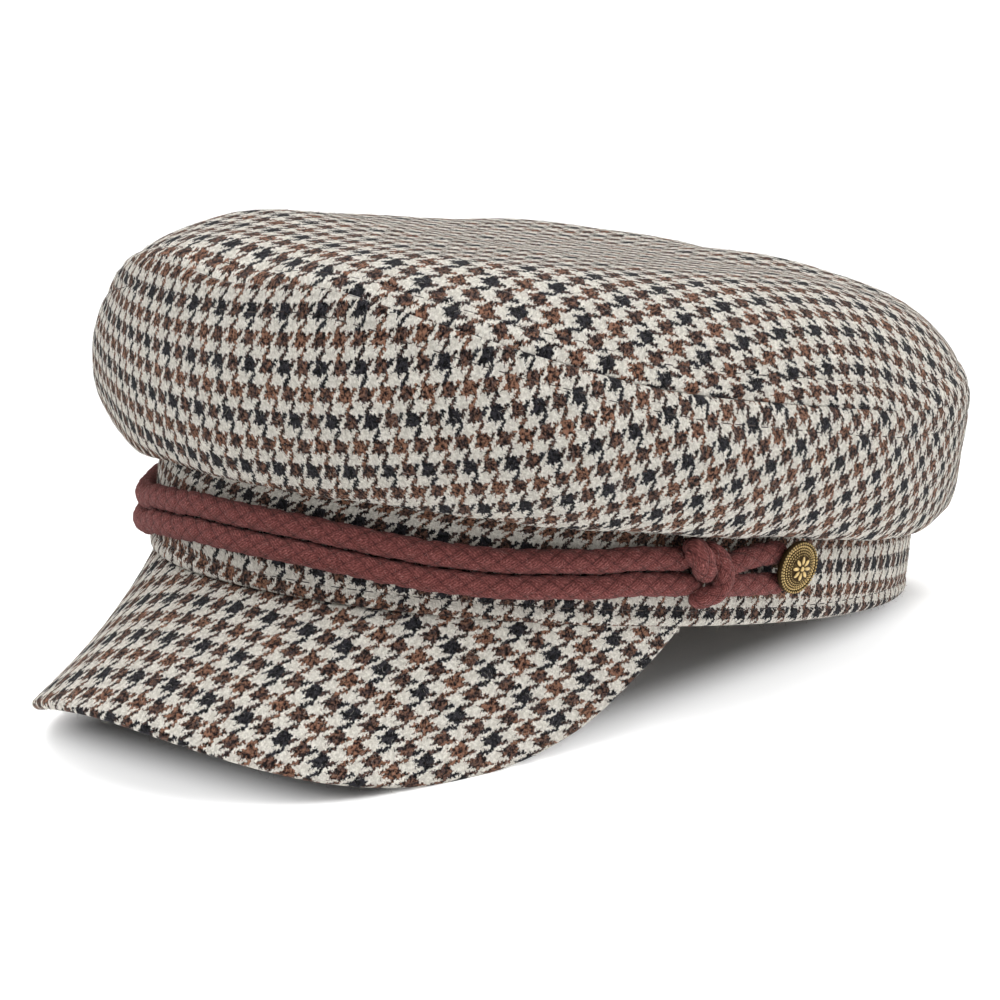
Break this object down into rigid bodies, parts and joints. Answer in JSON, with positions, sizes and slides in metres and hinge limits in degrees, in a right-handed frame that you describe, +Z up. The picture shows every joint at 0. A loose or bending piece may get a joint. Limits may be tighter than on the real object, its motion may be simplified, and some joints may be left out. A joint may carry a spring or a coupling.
{
  "type": "fiddler cap",
  "caption": "Soft wool fiddler cap in brown and black gun-club check, with a bent visor, knotted cord and brass side buttons.",
  "frame": {"origin": "bottom centre of the cap's box, on the table it rests on", "axes": "+Z up; the visor points to -Y; the wearer's left is +X"},
  "size_m": [0.184, 0.28, 0.1113],
  "materials": {
    "wool": "matte",
    "lining": "matte",
    "cord": "matte",
    "brass": "satin"
  },
  "bodies": {
    "root": {"crown_top": "wool", "crown_side": "wool", "band": "wool", "visor_cover": "wool", "visor_underside": "lining", "cord_upper": "cord", "cord_lower": "cord", "knot_left": "cord", "knot_right": "cord", "button_left": "brass", "button_right": "brass"}
  },
  "joints": []
}
